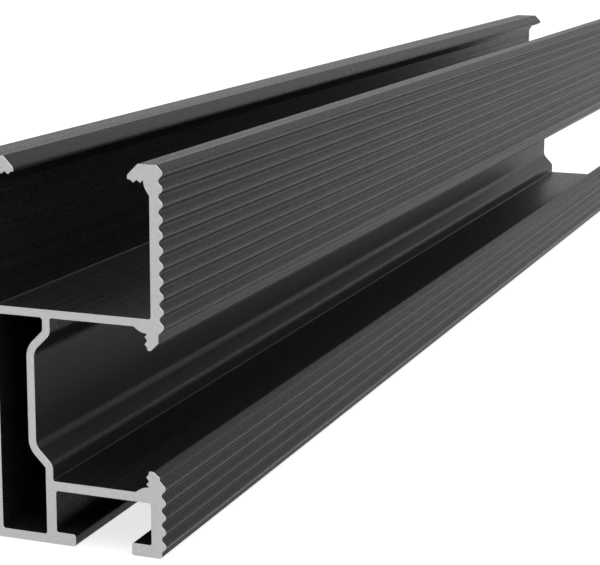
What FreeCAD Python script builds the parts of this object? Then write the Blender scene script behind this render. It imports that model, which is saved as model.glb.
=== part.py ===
import FreeCAD, Part
import math
import os
import re
import Sketcher

# Mounting rail: one length of extruded aluminium section, standing on its flange and its foot.
# X runs across the rail towards the side channel, Y along it and Z up. The section is drawn from the
# middle of its body and then moved across, so that the origin is under the middle of the whole rail.

# Driving sizes in millimetres
SIZES = {
    "rail_length": 395,
    "body_width": 35,
    "rail_height": 70,
    "side_wall": 2.5,
    "lower_wall": 2.85,
    "chamber_width": 8.95,
    "base_thickness": 2.3,
    "chamber_floor": 1.7,
    "shelf_thickness": 1.75,
    "floor_thickness": 1.5,
    "web_thickness": 1.5,
    "lower_web": 2.0,
    "web_stub": 3.0,
    "web_recess": 3.28,
    "stub_bend": 0.55,
    "recess_bend": 2.7,
    "side_channel_height": 29.9,
    "bolt_channel_height": 7.75,
    "bolt_slot": 11.1,
    "lip_reach": 4.1,
    "top_lip_thickness": 3.25,
    "side_lip_thickness": 3.73,
    "lip_slope": 2.0,
    "lip_round": 0.95,
    "nose_rise": 0.52,
    "nose_width": 0.55,
    "nose_round": 0.25,
    "tooth_start": 1.12,
    "tooth_pitch": 1.36,
    "tooth_depth": 0.5,
    "tooth_round": 0.1,
    "root_offset": 0.5,
    "root_depth": 0.6,
    "gusset_start": 0.1,
    "gusset_height": 2.1,
    "gusset_drop": 0.6,
    "gusset_round": 3.2,
    "side_recess": 1.08,
    "upper_shoulder": 0.08,
    "lower_shoulder": 1.47,
    "upper_bevel": 1.47,
    "lower_bevel_width": 1.25,
    "lower_bevel_height": 0.95,
    "bevel_round": 0.4,
    "edge_bevel": 1.08,
    "foot_recess": 0.8,
    "foot_recess_height": 1.2,
    "foot_round": 0.45,
    "rib_pitch": 2.67,
    "rib_crest": 0.6,
    "rib_round": 0.6,
    "corner_round": 0.5,
    "slot_round": 0.38,
    "edge_round": 0.2,
}
# Teeth on each lip, how far a cut goes beyond the metal in millimetres, how far a groove's cut reaches
# over the crests beside it as a share of a crest, and the share of a groove that rounding may lose
TEETH = 2
CLEAR = 2
SHOULDER = 0.45
SLACK = 0.05

# Lines of the section, as formulas over the sizes
OUTER = "body_width / 2"
INNER = "(body_width / 2 - side_wall)"
LIP_TIP = f"({INNER} - lip_reach)"
OUTER_TIP = f"(-{OUTER} - lip_reach)"
GUSSET_END = "(rail_height - top_lip_thickness - gusset_height)"
CHAMBER_RIGHT = f"(chamber_width - {INNER})"
WEB_RIGHT = f"({CHAMBER_RIGHT} + web_thickness)"
BOLT_LEFT = f"({CHAMBER_RIGHT} + lower_web)"
BOLT_RIGHT = "(body_width / 2 - lower_wall)"
BOLT_MIDDLE = f"({BOLT_LEFT} + {BOLT_RIGHT}) / 2"
BOLT_TOP = "(base_thickness + bolt_channel_height)"
SHELF_TOP = f"({BOLT_TOP} + shelf_thickness)"
FLOOR_UNDER = f"({SHELF_TOP} + side_channel_height)"
FLOOR_TOP = f"({FLOOR_UNDER} + floor_thickness)"
UPPER_TIP = f"({FLOOR_UNDER} - lip_reach)"
LOWER_TIP = f"({SHELF_TOP} + lip_reach)"
FIRST_CREST = "(rail_height - edge_bevel - rib_crest / 2)"
LEFT_CREST = f"({GUSSET_END} - rib_crest)"
LAST_CREST = "(foot_recess_height + foot_recess + rib_crest / 2)"
GROOVE_HALF = "((rib_pitch - rib_crest) / 2)"
WEB_BEND = 45
MITRE = f"web_thickness * tan({WEB_BEND} / 2)"
MOUTH = "2 * foot_round"

doc = FreeCAD.newDocument("mounting_rail")


def make_sheet():
    """The driving sizes as a sheet of named cells."""
    cells = doc.addObject("Spreadsheet::Sheet", "Sizes")
    for row, (name, size) in enumerate(SIZES.items(), start=1):
        cells.set(f"A{row}", name)
        cells.set(f"B{row}", str(size))
        cells.setAlias(f"B{row}", name)
    doc.recompute()
    return cells


sheet = make_sheet()


def value(formula):
    """A formula's number, from the sizes in the sheet."""
    return float(sheet.evalExpression(formula))


def linked(formula):
    """The same formula, as another object of the document reads it."""
    return re.sub(r"[a-z]+(_[a-z]+)+", lambda name: f"Sizes.{name.group(0)}", formula)


def origin(body, role):
    """One of a body's own origin planes or axes."""
    return next(item for item in body.Origin.OriginFeatures if item.Role == role)


def rounding(before, point, after, radius):
    """Where the arc starts, turns and ends that rounds the corner at this point."""
    back = (before - point).normalize()
    ahead = (after - point).normalize()
    half = back.getAngle(ahead) / 2
    centre = point + (back + ahead).normalize() * (radius / math.sin(half))
    step = radius / math.tan(half)
    return point + back * step, centre + (point - centre).normalize() * radius, point + ahead * step


def turning_points(points, corners):
    """Where the outline arrives, turns and leaves at each corner."""
    paths = []
    for index, (point, corner) in enumerate(zip(points, corners)):
        if len(corner) == 3:
            following = points[(index + 1) % len(points)]
            paths.append(rounding(points[index - 1], point, following, value(corner[2])))
        else:
            paths.append((point, point, point))
    return paths


class Rules:
    """A sketch's constraints, given to it all at once because that is much faster."""

    def __init__(self):
        self.rules = []
        self.formulas = {}

    def add(self, kind, *geometry):
        self.rules.append(Sketcher.Constraint(kind, *geometry))

    def hold(self, kind, *geometry, to):
        """A dimension that follows a formula."""
        self.formulas[len(self.rules)] = linked(to)
        self.rules.append(Sketcher.Constraint(kind, *geometry, value(to)))

    def give(self, sketch):
        sketch.addConstraint(self.rules)
        for index, formula in self.formulas.items():
            sketch.setExpression(f"Constraints[{index}]", formula)


def draw(body, name, corners):
    """A closed outline in the section plane, held by the sizes.

    A corner is (across, up), or (across, up, radius) where it is round."""
    sketch = body.newObject("Sketcher::SketchObject", name)
    sketch.AttachmentSupport = [(origin(body, "XZ_Plane"), "")]
    sketch.MapMode = "FlatFace"
    count = len(corners)
    points = [FreeCAD.Vector(value(corner[0]), value(corner[1]), 0) for corner in corners]
    paths = turning_points(points, corners)
    for index, path in enumerate(paths):
        sketch.addGeometry(Part.LineSegment(path[2], paths[(index + 1) % count][0]))
    rules = Rules()
    first_arcs = {}
    for index, (across, up, *radius) in enumerate(corners):
        before = (index - 1) % count
        held = index
        if radius:
            arrive = points[index] - points[before]
            leave = points[(index + 1) % count] - points[index]
            leftwards = arrive.cross(leave).z > 0
            arc = sketch.addGeometry(Part.Arc(*(paths[index] if leftwards else reversed(paths[index]))))
            held = sketch.addGeometry(Part.Point(points[index]), True)
            rules.add("Tangent", before, 2, arc, 1 if leftwards else 2)
            rules.add("Tangent", arc, 2 if leftwards else 1, index, 1)
            rules.add("PointOnObject", held, 1, before)
            rules.add("PointOnObject", held, 1, index)
            if radius[0] in first_arcs:
                rules.add("Equal", first_arcs[radius[0]], arc)
            else:
                first_arcs[radius[0]] = arc
                rules.hold("Radius", arc, to=radius[0])
        else:
            rules.add("Coincident", before, 2, index, 1)
        if index and across == corners[before][0]:
            rules.add("Vertical", before)
        else:
            rules.hold("DistanceX", -1, 1, held, 1, to=across)
        if index and up == corners[before][1]:
            rules.add("Horizontal", before)
        else:
            rules.hold("DistanceY", -1, 1, held, 1, to=up)
    rules.give(sketch)
    return sketch


def pad(body, name, corners):
    """A length of the rail with this outline, as far each way from the middle."""
    feature = body.newObject("PartDesign::Pad", name)
    feature.Profile = draw(body, f"{name}_outline", corners)
    feature.SideType = "Symmetric"
    feature.setExpression("Length", linked("rail_length"))
    doc.recompute()


def pocket(body, name, corners):
    """This outline cut out of the whole length."""
    before = body.Shape.Volume
    feature = body.newObject("PartDesign::Pocket", name)
    feature.Profile = draw(body, f"{name}_outline", corners)
    feature.SideType = "Symmetric"
    feature.setExpression("Length", f"{linked('rail_length')} + {2 * CLEAR}")
    doc.recompute()
    if body.Shape.Volume >= before:
        raise ValueError(f"{name} cuts nothing")
    return feature


def mirrored(corners):
    """The same corners on the other side of the middle plane, in the opposite order."""
    return [(f"-({across})", up, *rounding) for across, up, *rounding in reversed(corners)]


def count_grooves(first_crest, last_crest):
    """How many whole grooves fit between two crests."""
    return int((value(first_crest) - value(last_crest)) / value("rib_pitch") + SLACK)


def lip(place):
    """A clamping lip from its tip over the teeth to its gusset; place turns a step back from
    the tip and a step off the tooth line into a corner of the section."""
    corners = [
        place("0", "-nose_rise", "nose_round"),
        place("nose_width", "-tooth_depth", "tooth_round"),
    ]
    for tooth in range(TEETH):
        tip = f"tooth_start + {tooth} * tooth_pitch"
        corners.append(place(tip, "0", "tooth_round"))
        if tooth < TEETH - 1:
            corners.append(place(f"{tip} + tooth_pitch / 2", "-tooth_depth", "tooth_round"))
    corners.append(place(f"{tip} + root_offset", "-root_depth", "tooth_round"))
    corners.append(place(f"{tip} + root_offset + gusset_start", "gusset_drop", "gusset_round"))
    return corners


def top_place(back, off, *rounding):
    """A corner of the lip that closes the top channel."""
    return (f"{LIP_TIP} + {back}", f"rail_height - top_lip_thickness - ({off})", *rounding)


def outer_place(back, off, *rounding):
    """A corner of the lip that stands out from the left wall."""
    return (f"{OUTER_TIP} + {back}", f"rail_height - top_lip_thickness - ({off})", *rounding)


def upper_place(back, off, *rounding):
    """A corner of the lip above the side channel's slot."""
    return (f"{OUTER} - side_lip_thickness - ({off})", f"{UPPER_TIP} + {back}", *rounding)


def lower_place(back, off, *rounding):
    """A corner of the lip below the side channel's slot."""
    return (f"{OUTER} - side_lip_thickness - ({off})", f"{LOWER_TIP} - ({back})", *rounding)


def blank(left_grooves):
    """The solid section before its channels, with the lip that stands out from its left wall."""
    left_end = f"({LEFT_CREST} - {left_grooves} * rib_pitch - rib_crest / 2)"
    return [
        (f"-{OUTER} + foot_recess", "0", "edge_round"),
        (f"{OUTER} - foot_recess", "0", "edge_round"),
        (f"{OUTER} - foot_recess", "foot_recess_height"),
        (OUTER, "foot_recess_height + foot_recess", "rib_round"),
        (OUTER, "rail_height - edge_bevel", "rib_round"),
        (f"{OUTER} - edge_bevel", "rail_height", "edge_round"),
        (f"{OUTER_TIP} + lip_slope", "rail_height", "edge_round"),
        (OUTER_TIP, "rail_height - lip_slope", "lip_round"),
        *lip(outer_place),
        (f"-{OUTER}", GUSSET_END),
        (f"-{OUTER}", left_end, "rib_round"),
        (f"-{OUTER} + foot_recess", f"{left_end} - foot_recess"),
    ]


def top_channel():
    """The channel between the two top lips."""
    right = [
        (f"{LIP_TIP} + lip_slope + edge_round", f"rail_height + {CLEAR}"),
        (f"{LIP_TIP} + lip_slope + edge_round", "rail_height"),
        (f"{LIP_TIP} + lip_slope", "rail_height", "edge_round"),
        (LIP_TIP, "rail_height - lip_slope", "lip_round"),
        *lip(top_place),
        (INNER, GUSSET_END),
        (INNER, FLOOR_TOP, "corner_round"),
    ]
    return right + mirrored(right)


def side_channel():
    """The channel behind the two side lips, with the web's shallow recess at its back."""
    upper_corner = f"{FLOOR_UNDER} - upper_shoulder"
    lower_corner = f"{SHELF_TOP} + lower_shoulder"
    gusset_end = f"{OUTER} - side_lip_thickness - gusset_height"
    return [
        (f"{OUTER} + {CLEAR}", f"{upper_corner} + rib_crest / 2"),
        (OUTER, f"{upper_corner} + rib_crest / 2"),
        (OUTER, upper_corner, "rib_round"),
        (f"{OUTER} - side_recess", f"{upper_corner} - side_recess", "edge_round"),
        (f"{OUTER} - side_recess", f"{UPPER_TIP} + upper_bevel", "bevel_round"),
        (f"{OUTER} - side_recess - upper_bevel", UPPER_TIP, "bevel_round"),
        *lip(upper_place),
        (gusset_end, FLOOR_UNDER),
        (WEB_RIGHT, FLOOR_UNDER, "slot_round"),
        (WEB_RIGHT, f"{FLOOR_UNDER} - web_stub", "stub_bend + web_thickness"),
        (f"{WEB_RIGHT} - web_recess", f"{FLOOR_UNDER} - web_stub - web_recess", "recess_bend"),
        (f"{WEB_RIGHT} - web_recess", f"{SHELF_TOP} + web_stub + web_recess", "recess_bend"),
        (WEB_RIGHT, f"{SHELF_TOP} + web_stub", "stub_bend + web_thickness"),
        (WEB_RIGHT, SHELF_TOP, "slot_round"),
        (gusset_end, SHELF_TOP),
        *reversed(lip(lower_place)),
        (f"{OUTER} - side_recess - lower_bevel_width", LOWER_TIP, "bevel_round"),
        (f"{OUTER} - side_recess", f"{LOWER_TIP} - lower_bevel_height", "bevel_round"),
        (f"{OUTER} - side_recess", f"{lower_corner} + side_recess", "edge_round"),
        (OUTER, lower_corner, "rib_round"),
        (OUTER, f"{lower_corner} - rib_crest / 2"),
        (f"{OUTER} + {CLEAR}", f"{lower_corner} - rib_crest / 2"),
    ]


def bolt_channel():
    """The channel for bolt heads above the slot in the base."""
    left = f"{BOLT_MIDDLE} - bolt_slot / 2"
    right = f"{BOLT_MIDDLE} + bolt_slot / 2"
    return [
        (f"{left} - {MOUTH}", f"-{CLEAR}"),
        (f"{right} + {MOUTH}", f"-{CLEAR}"),
        (f"{right} + {MOUTH}", "0"),
        (right, "0", "foot_round"),
        (right, "base_thickness", "slot_round"),
        (BOLT_RIGHT, "base_thickness", "slot_round"),
        (BOLT_RIGHT, BOLT_TOP, "corner_round"),
        (BOLT_LEFT, BOLT_TOP, "corner_round"),
        (BOLT_LEFT, "base_thickness", "slot_round"),
        (left, "base_thickness", "slot_round"),
        (left, "0", "edge_round"),
        (f"{left} - {MOUTH}", "0"),
    ]


def chamber():
    """The closed chamber along the left side, which follows the web's recess."""
    recess = f"{CHAMBER_RIGHT} - web_recess"
    lower_bend = f"{SHELF_TOP} + web_stub - {MITRE}"
    upper_bend = f"{FLOOR_UNDER} - web_stub + {MITRE}"
    return [
        (f"-{INNER}", "chamber_floor", "corner_round"),
        (CHAMBER_RIGHT, "chamber_floor", "corner_round"),
        (CHAMBER_RIGHT, lower_bend, "stub_bend"),
        (recess, f"{lower_bend} + web_recess", "recess_bend + web_thickness"),
        (recess, f"{upper_bend} - web_recess", "recess_bend + web_thickness"),
        (CHAMBER_RIGHT, upper_bend, "stub_bend"),
        (CHAMBER_RIGHT, FLOOR_UNDER, "corner_round"),
        (f"-{INNER}", FLOOR_UNDER, "corner_round"),
    ]


def groove_row(body, name, side, first_crest, grooves):
    """A row of round-bottomed V grooves down one side face, from a first crest."""
    middle = f"{first_crest} - rib_pitch / 2"
    shoulder = f"{GROOVE_HALF} + {SHOULDER} * rib_crest"
    outline = [
        (f"{side} * ({OUTER} - {GROOVE_HALF})", middle, "rib_round"),
        (f"{side} * {OUTER}", f"{middle} - {GROOVE_HALF}", "rib_round"),
        (f"{side} * {OUTER}", f"{middle} - ({shoulder})"),
        (f"{side} * ({OUTER} + {CLEAR})", f"{middle} - ({shoulder})"),
        (f"{side} * ({OUTER} + {CLEAR})", f"{middle} + {shoulder}"),
        (f"{side} * {OUTER}", f"{middle} + {shoulder}"),
        (f"{side} * {OUTER}", f"{middle} + {GROOVE_HALF}", "rib_round"),
    ]
    first = pocket(body, f"{name}_groove", outline)
    row = body.newObject("PartDesign::LinearPattern", name)
    row.Originals = [first]
    row.Direction = (origin(body, "Z_Axis"), [""])
    row.Reversed = True
    row.Mode = "Spacing"
    row.setExpression("Offset", linked("rib_pitch"))
    row.Occurrences = grooves
    body.Tip = row
    doc.recompute()


def make_rail():
    """The rail as one body: the blank, its channels and its rows of grooves."""
    body = doc.addObject("PartDesign::Body", "mounting_rail")
    upper_end = f"{FLOOR_UNDER} - upper_shoulder + rib_crest / 2"
    lower_start = f"({SHELF_TOP} + lower_shoulder - rib_crest / 2)"
    left_grooves = count_grooves(LEFT_CREST, LAST_CREST)
    pad(body, "blank", blank(left_grooves))
    for channel in (top_channel, side_channel, bolt_channel, chamber):
        pocket(body, channel.__name__, channel())
    groove_row(body, "left_ribs", "-1", LEFT_CREST, left_grooves)
    groove_row(body, "upper_ribs", "1", FIRST_CREST, count_grooves(FIRST_CREST, upper_end))
    groove_row(body, "lower_ribs", "1", lower_start, count_grooves(lower_start, LAST_CREST))
    body.setExpression("Placement.Base.x", linked("lip_reach / 2"))
    doc.recompute()
    return body


def check(body):
    """Stop before anything is written if an object failed."""
    for item in doc.Objects:
        if "Invalid" in item.State or "Error" in item.State:
            raise ValueError(f"{item.Name} failed")
    if body.Shape.isNull() or not body.Shape.isValid() or len(body.Shape.Solids) != 1:
        raise ValueError(f"{body.Label} has no single valid solid")


rail = make_rail()
check(rail)
os.makedirs("parts", exist_ok=True)
rail.Shape.exportStep(f"parts/{rail.Label}.step")
print(rail.Label, rail.Shape.BoundBox, "volume", rail.Shape.Volume)
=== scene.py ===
import bmesh
import bpy
import math
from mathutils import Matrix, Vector
from mathutils.geometry import tessellate_polygon


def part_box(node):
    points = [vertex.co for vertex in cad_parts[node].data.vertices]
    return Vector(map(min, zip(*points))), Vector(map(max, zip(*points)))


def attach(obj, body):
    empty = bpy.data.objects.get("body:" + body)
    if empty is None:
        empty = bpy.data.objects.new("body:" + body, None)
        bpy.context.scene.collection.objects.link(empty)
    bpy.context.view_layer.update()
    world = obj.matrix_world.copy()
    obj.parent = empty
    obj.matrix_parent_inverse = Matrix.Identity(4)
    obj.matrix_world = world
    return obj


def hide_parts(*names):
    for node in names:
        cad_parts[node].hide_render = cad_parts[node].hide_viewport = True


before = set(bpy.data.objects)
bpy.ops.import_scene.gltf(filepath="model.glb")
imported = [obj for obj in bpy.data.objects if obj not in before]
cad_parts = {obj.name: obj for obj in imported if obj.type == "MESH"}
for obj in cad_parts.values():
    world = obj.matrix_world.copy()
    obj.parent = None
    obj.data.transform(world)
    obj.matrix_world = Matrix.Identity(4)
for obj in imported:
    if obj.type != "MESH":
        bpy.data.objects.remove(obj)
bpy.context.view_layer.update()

MM = 0.001
NODE = "mounting_rail"

# The photograph's camera, in metres and degrees
CAMERA_PLACE = (0.14775, -0.47309, 0.11544)
CAMERA_TURN = (77.825, -0.304, 20.623)
CAMERA_NEAR = 0.01
LENS_MM = 109.38
SENSOR_MM = 36

# How far from the near end's plane a corner of the solid's mesh still lies in it, and the
# decimals of a millimetre that tell such corners apart
PLANE_SLACK = 0.001 * MM
CORNER_DECIMALS = 4

# The broken edge round the saw cuts, how many times its width it may reach at a sharp
# corner, and the bend past which an edge isn't shaded as a curve
CUT_EDGE = 0.08 * MM
LONGEST_MITRE = 2
SHARP_ANGLE = math.radians(28)

# The feet's right-hand corners, which are rounder than the solid's: each one's place across
# and up, and whether the metal is above it
FOOT_CORNERS = (
    (1.8 * MM, 0, True),
    (1.8 * MM, 2.3 * MM, False),
    (18.75 * MM, 0, True),
)
FOOT_RADIUS = 0.6 * MM
ARC_STEPS = 12

# The widest radius of what gets a painted highlight, a little brighter: corners that don't face
# up, and a strip just under each rib's crest
CORNER_RADIUS = 0.45 * MM
CREST_RADIUS = 1.7 * MM

# How far down a surface faces, from 0 for an upright one to 1 for an underside: still
# upright, and the strip's top and bottom
UPRIGHT = 0.03
STRIP_TOP = 0.1
STRIP_BOTTOM = 0.45

# The crest between these heights, the lowest, gets a brighter painted highlight reaching up to its
# middle, standing in for the floor's reflection
LOWEST_CREST = (1.5 * MM, 3 * MM)

# The profile's finishes, by material slot: plain skin, painted highlight, the lowest crest's brighter
# painted highlight, and the saw cut
SKIN, PAINTED_HIGHLIGHT, PAINTED_CREST_GLINT, SAWN = range(4)

# Colours as linear light: the darkest and the lightest of each finish, then the studio's
BLACK_OXIDE = (0.001, 0.001, 0.001, 1)
BLACK_OXIDE_WORN = (0.012, 0.012, 0.0121, 1)
# Painted highlight: a lighter skin for corners and crest strips that face level or down, where the
# floor's light would catch them
HIGHLIGHT_OXIDE = (0.028, 0.028, 0.0283, 1)
HIGHLIGHT_OXIDE_LIGHT = (0.042, 0.042, 0.0424, 1)
# Painted highlight of the lowest crest: brighter, standing in for the floor's reflection there
GLINT_OXIDE = (0.07, 0.07, 0.0706, 1)
GLINT_OXIDE_LIGHT = (0.1, 0.1, 0.1008, 1)
SAWN_METAL_DULL = (0.46, 0.46, 0.46, 1)
SAWN_METAL = (0.62, 0.62, 0.62, 1)
FLOOR_GREY = (0.42, 0.42, 0.42, 1)
WHITE = (1, 1, 1, 1)

# Noise textures: waves a metre across, along and up the rail, how many finer layers there
# are, and how strong each is beside the one before
DIE_LINES = {"waves": (2600, 2.5, 2600), "layers": 3, "fineness": 0.6}
SKIN_GRAIN = {"waves": (2600, 1700, 2600), "layers": 3, "fineness": 0.7}
SAW_MARKS = {"waves": (500, 500, 9000), "layers": 2, "fineness": 0.5}
METAL_GRAIN = {"waves": (7000, 7000, 7000), "layers": 2, "fineness": 0.5}

# Most of a noise texture's output lies in this range
NOISE_RANGE = (0.3, 0.7)

# Their relief: its depth, and its strength from 0 to 1
DIE_LINE_RELIEF = (0.004 * MM, 0.5)
SKIN_GRAIN_RELIEF = (0.012 * MM, 1)
SAW_MARK_RELIEF = (0.003 * MM, 0.4)

# The skin: two parts of its roughness, how much of the worn colour its grain brings out, and
# its refraction, which keeps the reflections faint
DIE_LINE_ROUGHNESS = (0.16, 0.28)
SKIN_GRAIN_ROUGHNESS = (0.04, 0.38)
GRAIN_WEAR = 0.7
SKIN_IOR = 1.265

# The sawn ends: their roughness, and how much they shine as metal
SAWN_ROUGHNESS = (0.42, 0.56)
SAWN_METALLIC = 0.6

# The studio, in metres and watts: soft light from all around, one soft box, and a floor just
# under the rail with a glow of its own where it is seen
SOFT_LIGHT = 0.75
KEY_PLACE = (0.6, -0.5, 1.2)
KEY_SIZE = 0.8
KEY_POWER = 6.5
FLOOR_SIZE = 40
FLOOR_DROP = 0.02 * MM
FLOOR_GLOW = 0.76

# A mix node repeats its sockets' names for each kind of value; these are the colours' places
MIX_FIRST, MIX_SECOND, MIX_RESULT = 6, 7, 2


def section_loops(node):
    """The closed outlines of the rail's near end, as lists of (x, z) with the metal on the left.

    The outer outline comes first, because it reaches the lowest x.
    """
    mesh = node.data
    near = min(vertex.co.y for vertex in mesh.vertices)
    spots = {}
    steps = set()
    for polygon in mesh.polygons:
        corners = [mesh.vertices[index].co for index in polygon.vertices]
        if all(abs(corner.y - near) < PLANE_SLACK for corner in corners):
            keys = [
                (round(corner.x / MM, CORNER_DECIMALS), round(corner.z / MM, CORNER_DECIMALS))
                for corner in corners
            ]
            spots.update(zip(keys, corners))
            steps.update(zip(keys, keys[1:] + keys[:1]))
    following = {start: end for start, end in steps if (end, start) not in steps}
    loops = []
    while following:
        key = min(following)
        loop = []
        while key in following:
            loop.append((spots[key].x, spots[key].z))
            key = following.pop(key)
        loops.append(loop)
    return loops


def eased(loop, x, z, metal_above):
    """The same outline with the corner at a point replaced by a quarter circle."""
    up = 1 if metal_above else -1
    middle = Vector((x - FOOT_RADIUS, z + up * FOOT_RADIUS))
    first = -math.pi / 2 if metal_above else 0
    angles = [first + math.pi / 2 * step / ARC_STEPS for step in range(ARC_STEPS + 1)]
    arc = [middle + FOOT_RADIUS * Vector((math.cos(angle), math.sin(angle))) for angle in angles]
    near = [max(abs(corner[0] - x), abs(corner[1] - z)) < FOOT_RADIUS for corner in loop]
    start = near.index(True)
    marked = list(zip(loop, near))
    turned = marked[start:] + marked[:start]
    return [tuple(corner) for corner in arc] + [corner for corner, gone in turned if not gone]


def finished_loops(node):
    """The outlines of the rail's near end with the feet's corners eased."""
    outer, *channels = section_loops(node)
    for corner in FOOT_CORNERS:
        outer = eased(outer, *corner)
    return [outer, *channels]


def drawn_in(loop, distance):
    """The same outline moved into the metal by a distance."""
    moved = []
    for index, corner in enumerate(loop):
        before = Vector(loop[index - 1])
        here = Vector(corner)
        after = Vector(loop[(index + 1) % len(loop)])
        into = [Vector((-step.y, step.x)).normalized() for step in (here - before, after - here)]
        middle = (into[0] + into[1]).normalized()
        moved.append(here + middle * (distance / max(middle.dot(into[0]), 1 / LONGEST_MITRE)))
    return moved


def skin_finishes(loop):
    """The finish of each step of an outline: plain skin, a painted highlight, or a brighter painted
    highlight at the lowest crest.
    """
    corners = [Vector(corner) for corner in loop]
    steps = [end - start for start, end in zip(corners, corners[1:] + corners[:1])]
    turns = [step.angle_signed(steps[index - 1]) for index, step in enumerate(steps)]
    finishes = []
    for start, step, turn, turn_after in zip(corners, steps, turns, turns[1:] + turns[:1]):
        bend = (turn + turn_after) / 2
        # The metal is on the left, so a step to the right is an underside
        downward = step.x / step.length
        # Painted highlights go on curved steps that face level or down, where the floor's light would
        # catch them
        corner_to_paint = downward > -UPRIGHT and abs(bend) * CORNER_RADIUS > step.length
        crest_to_paint = UPRIGHT < downward < STRIP_BOTTOM and bend * CREST_RADIUS > step.length
        strip_to_paint = crest_to_paint and downward > STRIP_TOP and start.y > LOWEST_CREST[1]
        # The lowest crest gets the brighter painted highlight
        if crest_to_paint and LOWEST_CREST[0] < start.y < LOWEST_CREST[1]:
            finishes.append(PAINTED_CREST_GLINT)
        elif corner_to_paint or strip_to_paint:
            finishes.append(PAINTED_HIGHLIGHT)
        else:
            finishes.append(SKIN)
    return finishes


def join_rings(shell, ring, next_ring, finishes):
    """Add the faces between two rings of corners, with a finish for each."""
    sides = zip(ring, next_ring, next_ring[1:] + next_ring[:1], ring[1:] + ring[:1])
    for corners, finish in zip(sides, finishes):
        shell.faces.new(corners).material_index = finish


def close_end(shell, outlines):
    """Add the saw cut between an end's outlines."""
    corners = [corner for outline in outlines for corner in outline]
    flat = [[Vector((corner.co.x, corner.co.z, 0)) for corner in outline] for outline in outlines]
    for triangle in tessellate_polygon(flat):
        shell.faces.new([corners[number] for number in triangle]).material_index = SAWN


def finished_profile(node):
    """The rail as one closed mesh, with smooth curves and a fine broken edge round both saw cuts."""
    low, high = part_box(NODE)
    places = (
        (low.y, CUT_EDGE),
        (low.y + CUT_EDGE, 0),
        (high.y - CUT_EDGE, 0),
        (high.y, CUT_EDGE),
    )
    shell = bmesh.new()
    near_outlines = []
    far_outlines = []
    for loop in finished_loops(node):
        rings = [[shell.verts.new((x, y, z)) for x, z in drawn_in(loop, inset)] for y, inset in places]
        near_cut, near_edge, far_edge, far_cut = rings
        broken_edge = [SAWN] * len(loop)
        join_rings(shell, near_cut, near_edge, broken_edge)
        join_rings(shell, near_edge, far_edge, skin_finishes(loop))
        join_rings(shell, far_edge, far_cut, broken_edge)
        near_outlines.append(near_cut)
        far_outlines.append(far_cut)
    close_end(shell, near_outlines)
    close_end(shell, far_outlines)
    bmesh.ops.recalc_face_normals(shell, faces=shell.faces)
    mesh = bpy.data.meshes.new("rail_profile")
    shell.to_mesh(mesh)
    shell.free()
    mesh.shade_smooth()
    mesh.set_sharp_from_angle(angle=SHARP_ANGLE)
    piece = bpy.data.objects.new("rail_profile", mesh)
    bpy.context.scene.collection.objects.link(piece)
    return piece


class Shader:
    """A material's node tree with short calls for what the finishes share."""

    def __init__(self, name):
        self.material = bpy.data.materials.new(name)
        self.material.use_nodes = True
        self.tree = self.material.node_tree
        self.surface = self.tree.nodes["Principled BSDF"]
        self.place = self.add("ShaderNodeTexCoord").outputs["Object"]

    def add(self, kind, **settings):
        node = self.tree.nodes.new(kind)
        for name, setting in settings.items():
            setattr(node, name, setting)
        return node

    def link(self, output, socket):
        self.tree.links.new(output, socket)

    def noise(self, waves, layers, fineness):
        """Noise with so many waves a metre along each axis, spread from 0 to 1."""
        stretch = self.add("ShaderNodeMapping")
        stretch.inputs["Scale"].default_value = waves
        self.link(self.place, stretch.inputs["Vector"])
        node = self.add("ShaderNodeTexNoise")
        node.inputs["Scale"].default_value = 1
        node.inputs["Detail"].default_value = layers
        node.inputs["Roughness"].default_value = fineness
        self.link(stretch.outputs["Vector"], node.inputs["Vector"])
        return self.between(node.outputs["Fac"], 0, 1, NOISE_RANGE)

    def between(self, factor, low, high, source=(0, 1)):
        """The factor spread over a range of numbers."""
        node = self.add("ShaderNodeMapRange")
        node.inputs["From Min"].default_value, node.inputs["From Max"].default_value = source
        node.inputs["To Min"].default_value = low
        node.inputs["To Max"].default_value = high
        self.link(factor, node.inputs["Value"])
        return node.outputs["Result"]

    def total(self, first, second):
        """The sum of two outputs."""
        node = self.add("ShaderNodeMath", operation="ADD")
        self.link(first, node.inputs[0])
        self.link(second, node.inputs[1])
        return node.outputs["Value"]

    def blended(self, factor, first, second):
        """Two colours mixed by a factor; each is a colour or another node's output."""
        node = self.add("ShaderNodeMix", data_type="RGBA")
        for socket, colour in ((node.inputs[MIX_FIRST], first), (node.inputs[MIX_SECOND], second)):
            if isinstance(colour, tuple):
                socket.default_value = colour
            else:
                self.link(colour, socket)
        self.link(factor, node.inputs["Factor"])
        return node.outputs[MIX_RESULT]

    def bump(self, height, depth, strength, under=None):
        """Relief of a depth in metres, on top of another where one is given."""
        node = self.add("ShaderNodeBump")
        node.inputs["Distance"].default_value = depth
        node.inputs["Strength"].default_value = strength
        self.link(height, node.inputs["Height"])
        if under is not None:
            self.link(under, node.inputs["Normal"])
        return node.outputs["Normal"]


def anodised_finish(name, dark, worn):
    """Black anodised skin: satin, with faint die lines along the rail and a fine grain."""
    shader = Shader(name)
    surface = shader.surface
    die_lines = shader.noise(**DIE_LINES)
    grain = shader.noise(**SKIN_GRAIN)
    streaked = shader.blended(die_lines, dark, worn)
    speckled = shader.blended(shader.between(grain, 0, GRAIN_WEAR), streaked, worn)
    roughness = shader.total(
        shader.between(die_lines, *DIE_LINE_ROUGHNESS),
        shader.between(grain, *SKIN_GRAIN_ROUGHNESS),
    )
    lines_relief = shader.bump(die_lines, *DIE_LINE_RELIEF)
    relief = shader.bump(grain, *SKIN_GRAIN_RELIEF, under=lines_relief)
    shader.link(speckled, surface.inputs["Base Color"])
    shader.link(roughness, surface.inputs["Roughness"])
    shader.link(relief, surface.inputs["Normal"])
    surface.inputs["Metallic"].default_value = 0
    surface.inputs["IOR"].default_value = SKIN_IOR
    return shader.material


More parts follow.
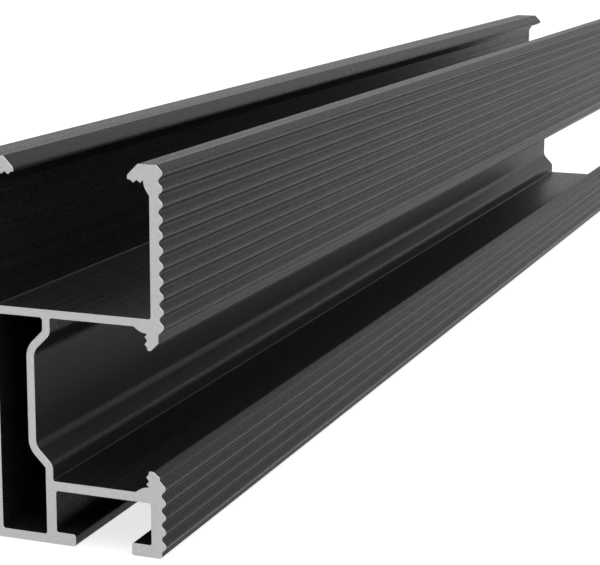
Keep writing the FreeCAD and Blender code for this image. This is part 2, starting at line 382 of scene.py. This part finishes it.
def sawn_finish():
    """Bare metal of the saw cut: light, matt, with fine level marks from the blade."""
    shader = Shader("sawn_aluminium")
    surface = shader.surface
    marks = shader.noise(**SAW_MARKS)
    grain = shader.noise(**METAL_GRAIN)
    shader.link(shader.blended(grain, SAWN_METAL_DULL, SAWN_METAL), surface.inputs["Base Color"])
    shader.link(shader.between(marks, *SAWN_ROUGHNESS), surface.inputs["Roughness"])
    shader.link(shader.bump(marks, *SAW_MARK_RELIEF), surface.inputs["Normal"])
    surface.inputs["Metallic"].default_value = SAWN_METALLIC
    return shader.material


def seen_directly(tree):
    """1 for rays that should meet the white background, from the camera or off the object."""
    path = tree.nodes.new("ShaderNodeLightPath")
    seen = path.outputs["Is Camera Ray"]
    for kind in ("Is Glossy Ray", "Is Transmission Ray"):
        either = tree.nodes.new("ShaderNodeMath")
        either.operation = "MAXIMUM"
        tree.links.new(seen, either.inputs[0])
        tree.links.new(path.outputs[kind], either.inputs[1])
        seen = either.outputs["Value"]
    return seen


def make_world():
    """White where it is seen, soft studio light where it shines."""
    world = bpy.data.worlds.new("studio")
    world.use_nodes = True
    tree = world.node_tree
    background = tree.nodes["Background"]
    strength = tree.nodes.new("ShaderNodeMapRange")
    strength.inputs["To Min"].default_value = SOFT_LIGHT
    strength.inputs["To Max"].default_value = 1
    tree.links.new(seen_directly(tree), strength.inputs["Value"])
    tree.links.new(strength.outputs["Result"], background.inputs["Strength"])
    background.inputs["Color"].default_value = WHITE
    bpy.context.scene.world = world


def make_floor():
    """A plain floor that is seen as white and keeps a soft shadow."""
    bpy.ops.mesh.primitive_plane_add(size=FLOOR_SIZE, location=(0, 0, -FLOOR_DROP))
    floor = bpy.context.object
    floor.name = "floor"
    material = bpy.data.materials.new("white_floor")
    material.use_nodes = True
    tree = material.node_tree
    surface = tree.nodes["Principled BSDF"]
    surface.inputs["Base Color"].default_value = FLOOR_GREY
    surface.inputs["Roughness"].default_value = 1
    surface.inputs["Specular IOR Level"].default_value = 0
    surface.inputs["Emission Color"].default_value = WHITE
    glow = tree.nodes.new("ShaderNodeMapRange")
    glow.inputs["To Max"].default_value = FLOOR_GLOW
    tree.links.new(seen_directly(tree), glow.inputs["Value"])
    tree.links.new(glow.outputs["Result"], surface.inputs["Emission Strength"])
    floor.data.materials.append(material)


def make_key_light():
    """A square soft box that points at the origin, on the floor under the rail's middle."""
    light = bpy.data.lights.new("key", "AREA")
    light.size = KEY_SIZE
    light.energy = KEY_POWER
    lamp = bpy.data.objects.new("key", light)
    lamp.location = KEY_PLACE
    lamp.rotation_euler = (-Vector(KEY_PLACE)).to_track_quat("-Z", "Y").to_euler()
    bpy.context.scene.collection.objects.link(lamp)


def make_camera():
    """The photograph's point of view."""
    data = bpy.data.cameras.new("camera")
    data.sensor_width = SENSOR_MM
    data.lens = LENS_MM
    data.clip_start = CAMERA_NEAR
    camera = bpy.data.objects.new("camera", data)
    camera.location = CAMERA_PLACE
    camera.rotation_euler = [math.radians(turn) for turn in CAMERA_TURN]
    bpy.context.scene.collection.objects.link(camera)
    bpy.context.scene.camera = camera


make_camera()
make_world()
make_floor()
make_key_light()

profile = finished_profile(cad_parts[NODE])
for finish in (
    anodised_finish("black_anodised", BLACK_OXIDE, BLACK_OXIDE_WORN),
    # Two lighter copies of the skin carry the painted highlights
    anodised_finish("painted_highlight_anodised", HIGHLIGHT_OXIDE, HIGHLIGHT_OXIDE_LIGHT),
    anodised_finish("painted_glint_anodised", GLINT_OXIDE, GLINT_OXIDE_LIGHT),
    sawn_finish(),
):
    profile.data.materials.append(finish)
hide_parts(NODE)
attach(profile, "root")

bpy.context.scene.view_settings.view_transform = "Standard"
